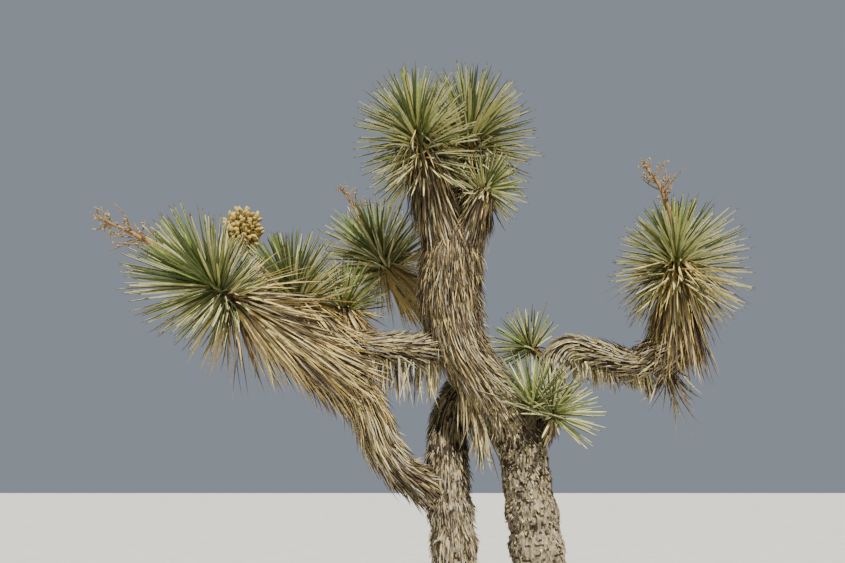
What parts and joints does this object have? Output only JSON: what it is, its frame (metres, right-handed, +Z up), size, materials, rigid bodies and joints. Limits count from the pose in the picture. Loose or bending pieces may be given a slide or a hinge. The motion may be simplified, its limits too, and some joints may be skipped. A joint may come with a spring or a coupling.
{
  "type": "joshua tree",
  "caption": "Joshua tree with two stems from one root, crooked boughs coated in hanging dead leaves, and round heads of stiff dagger-shaped leaves",
  "frame": {"origin": "centre of the main trunk's flat cut, on level ground", "axes": "+Z up along the trunk; +Y away from the side the tree is seen from; +X to the right, toward the single curved bough; -X toward the forward-reaching bough"},
  "size_m": [2.7528, 1.6977, 3.5411],
  "materials": {
    "bark": "corky grey-tan bark with short stubs of old leaf bases",
    "thatched_bark": "bark under a coat of dead leaves that hang down along it, weathered grey-tan",
    "live_leaves": "stiff waxy olive-green leaves with pale edges and brown tips, and straw-coloured dead ones below",
    "dead_leaves": "dry straw-coloured leaves"
  },
  "bodies": {
    "root": {"trunk": "bark", "second_stem": "bark", "leader": "thatched_bark", "bough_back": "thatched_bark", "bough_front_low": "thatched_bark", "bough_front_high": "thatched_bark", "bough_level": "thatched_bark", "bough_right_rise": "thatched_bark", "bough_right_arm": "thatched_bark", "bough_top_left": "thatched_bark", "bough_top_right": "thatched_bark", "bough_top_low": "thatched_bark", "bough_far_left": "thatched_bark", "head_front": "live_leaves", "head_mid_left": "live_leaves", "head_far_left": "live_leaves", "head_back": "live_leaves", "head_top_left": "live_leaves", "head_top_right": "live_leaves", "head_top_low": "live_leaves", "head_right": "live_leaves", "sprout_left": "live_leaves", "sprout_right": "live_leaves", "sprout_back": "live_leaves", "curtain_level": "dead_leaves", "curtain_leader": "dead_leaves"}
  },
  "joints": []
}
